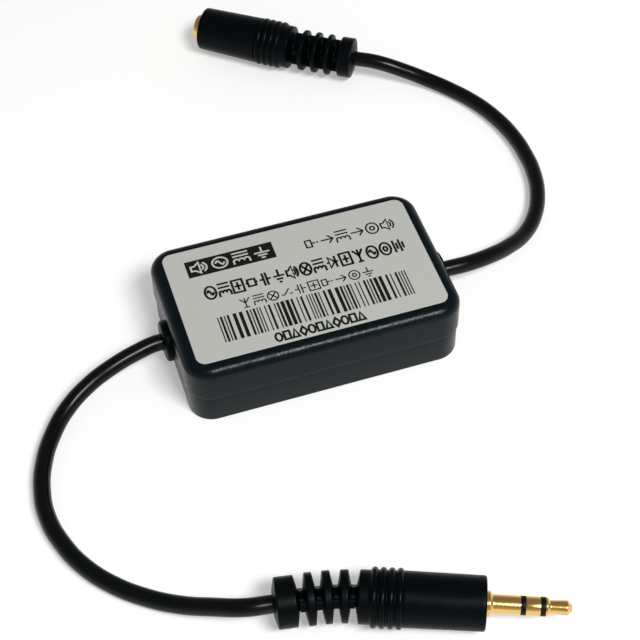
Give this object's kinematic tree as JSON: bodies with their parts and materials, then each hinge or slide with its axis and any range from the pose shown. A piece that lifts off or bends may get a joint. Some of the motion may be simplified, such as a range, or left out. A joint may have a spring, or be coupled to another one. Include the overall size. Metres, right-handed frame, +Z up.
{
  "type": "ground loop isolator",
  "caption": "Small snap-together black box that isolates a stereo audio lead, with a short cord to a moulded 3.5 mm plug at one end and to a matching socket at the other.",
  "frame": {"origin": "middle of the box's underside", "axes": "+X along the box towards the socket's cord, +Y towards the box's back, +Z up through the label"},
  "size_m": [0.128, 0.1817, 0.0156],
  "materials": {
    "case": "fine-textured moulded black ABS",
    "label": "matt silver-grey printed film",
    "bush": "moulded black PVC",
    "board": "green lacquered fibre board",
    "solder": "tin solder",
    "core": "pressed dark ferrite",
    "bobbin": "moulded natural nylon",
    "winding": "enamelled copper wire",
    "tape": "yellow polyester tape",
    "lead": "tinned wire",
    "white_wire": "white PVC insulation",
    "red_wire": "red PVC insulation",
    "bare_wire": "twisted copper strands",
    "gold": "polished gold plating on brass",
    "insulator": "black moulded insulator",
    "moulding": "soft black moulded PVC",
    "cord": "smooth glossy black PVC jacket"
  },
  "bodies": {
    "root": {"top_shell": "case", "bottom_shell": "case", "label": "label", "plug_cord_bush": "bush", "jack_cord_bush": "bush", "circuit_board": "board", "solder_joints": "solder", "left_core_in": "core", "left_core_out": "core", "left_bobbin": "bobbin", "left_primary": "winding", "left_secondary": "winding", "left_core_tape": "tape", "left_pins": "lead", "right_core_in": "core", "right_core_out": "core", "right_bobbin": "bobbin", "right_primary": "winding", "right_secondary": "winding", "right_core_tape": "tape", "right_pins": "lead", "plug_left_wire": "white_wire", "plug_right_wire": "red_wire", "plug_ground_wire": "bare_wire", "jack_left_wire": "white_wire", "jack_right_wire": "red_wire", "jack_ground_wire": "bare_wire", "plug_tip": "gold", "plug_tip_insulator": "insulator", "plug_ring": "gold", "plug_ring_insulator": "insulator", "plug_sleeve": "gold", "plug_handle": "moulding", "jack_mouth": "gold", "jack_carrier": "insulator", "jack_tip_spring": "gold", "jack_ring_spring": "gold", "jack_handle": "moulding", "plug_cord": "cord", "jack_cord": "cord"}
  },
  "joints": []
}
